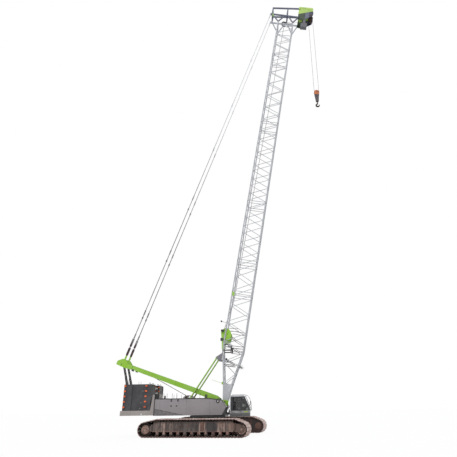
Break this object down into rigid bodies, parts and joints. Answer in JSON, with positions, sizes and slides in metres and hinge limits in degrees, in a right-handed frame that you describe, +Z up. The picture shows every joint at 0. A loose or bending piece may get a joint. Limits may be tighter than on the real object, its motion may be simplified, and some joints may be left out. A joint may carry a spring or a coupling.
{
  "type": "crawler crane, 1:2 scale model",
  "caption": "Crawler crane with a steep lattice boom, rear mast, pendants, counterweight stacks, cab and hook block; slews, luffs and stands on tracks.",
  "frame": {"origin": "on the slewing axis, at ground level under the tracks", "axes": "+Z up; +X the way the boom points; -Y the cab side; the crawlers are parked 12.2 degrees off X, turned towards -Y at the front"},
  "size_m": [12.2732, 5.5095, 30.0329],
  "materials": {
    "black_paint": "satin",
    "track_steel": "rusty",
    "rusty_frame": "dusty",
    "dark_steel": "matt",
    "grey_frame": "satin",
    "grey_panel": "satin",
    "light_grey": "satin",
    "dark_grey": "satin",
    "silver_grey": "satin",
    "lime": "gloss",
    "glass": "clear",
    "orange": "satin"
  },
  "bodies": {
    "undercarriage": {"carbody": "black_paint", "track_right": "track_steel", "track_left": "track_steel", "crawler_frame_right": "rusty_frame", "crawler_frame_left": "rusty_frame", "track_rollers_right": "dark_steel", "track_rollers_left": "dark_steel", "end_wheels_right": "rusty_frame", "end_wheels_left": "rusty_frame"},
    "upper": {"turntable": "black_paint", "cab_glass": "glass", "main_frame": "grey_frame", "side_housing": "grey_panel", "engine_house": "grey_panel", "engine": "dark_steel", "winch_stands": "grey_frame", "counterweight_tray": "light_grey", "counterweight_right": "dark_grey", "counterweight_left": "dark_grey", "cab_shell": "light_grey", "cab_bracket": "black_paint", "operator_seat": "black_paint"},
    "door": {"cab_door": "dark_grey"},
    "luffing_winch": {"luff_drum": "dark_steel"},
    "hoist_winch": {"hoist_drum": "dark_steel"},
    "boom_winch": {"boom_drum": "lime"},
    "boom": {"boom_butt": "silver_grey", "boom_insert_1": "silver_grey", "boom_insert_2": "silver_grey", "boom_insert_3": "silver_grey", "boom_insert_4": "silver_grey", "boom_top": "silver_grey", "boom_head": "dark_grey", "head_cover": "lime", "pendants": "silver_grey", "backstops": "lime"},
    "load_sheaves": {"head_sheaves": "dark_steel"},
    "mast": {"mast": "lime", "mast_sheaves": "dark_steel"},
    "luffing_tackle": {"luffing_ropes": "dark_steel"},
    "hook_line": {"hoist_ropes": "dark_steel", "hook_block": "orange"},
    "block_sheave": {"hook_sheave": "dark_steel"},
    "hook": {"hook": "dark_steel"}
  },
  "joints": [
    {"name": "slew", "type": "hinge", "parent": "undercarriage", "child": "upper", "pos_m": [0, 0, 0.836], "axis": [0, 0, 1], "continuous": true},
    {"name": "boom_luff", "type": "hinge", "parent": "upper", "child": "boom", "pos_m": [0.97, 0, 1.525], "axis": [0, 1, 0], "range_deg": [0, 51]},
    {"name": "mast_swing", "type": "hinge", "parent": "upper", "child": "mast", "pos_m": [0.655, 0, 1.69], "axis": [0, 1, 0], "range_deg": [0, 54]},
    {"name": "tackle_swing", "type": "hinge", "parent": "upper", "child": "luffing_tackle", "pos_m": [-4, 0, 1.33], "axis": [0, 1, 0], "range_deg": [0, 45]},
    {"name": "hook_swing", "type": "hinge", "parent": "boom", "child": "hook_line", "pos_m": [7.16513, 0, 29.14001], "axis": [0, 1, 0], "range_deg": [-52, 0]},
    {"name": "load_sheave_spin", "type": "hinge", "parent": "boom", "child": "load_sheaves", "pos_m": [7.16513, 0, 29.14001], "axis": [0, 1, 0], "continuous": true},
    {"name": "block_sheave_spin", "type": "hinge", "parent": "hook_line", "child": "block_sheave", "pos_m": [7.16513, 0, 21.96], "axis": [0, 1, 0], "continuous": true},
    {"name": "hook_swivel", "type": "hinge", "parent": "hook_line", "child": "hook", "pos_m": [7.16513, 0, 21.1], "axis": [0, 0, 1], "continuous": true},
    {"name": "luffing_winch_spin", "type": "hinge", "parent": "upper", "child": "luffing_winch", "pos_m": [-0.96, 0, 1.53], "axis": [0, 1, 0], "continuous": true},
    {"name": "hoist_winch_spin", "type": "hinge", "parent": "upper", "child": "hoist_winch", "pos_m": [-0.25, 0, 1.38], "axis": [0, 1, 0], "continuous": true},
    {"name": "boom_winch_spin", "type": "hinge", "parent": "boom", "child": "boom_winch", "pos_m": [0.97613, 0, 5.06641], "axis": [0, 1, 0], "continuous": true},
    {"name": "door_swing", "type": "hinge", "parent": "upper", "child": "door", "pos_m": [1.391, -1.609, 1.36], "axis": [0, 0, -1], "range_deg": [0, 100]}
  ],
  "couplings": [
    {"joint": "mast_swing", "follows": "boom_luff", "ratio": 1.05},
    {"joint": "tackle_swing", "follows": "boom_luff", "ratio": 0.845},
    {"joint": "hook_swing", "follows": "boom_luff", "ratio": -1}
  ]
}
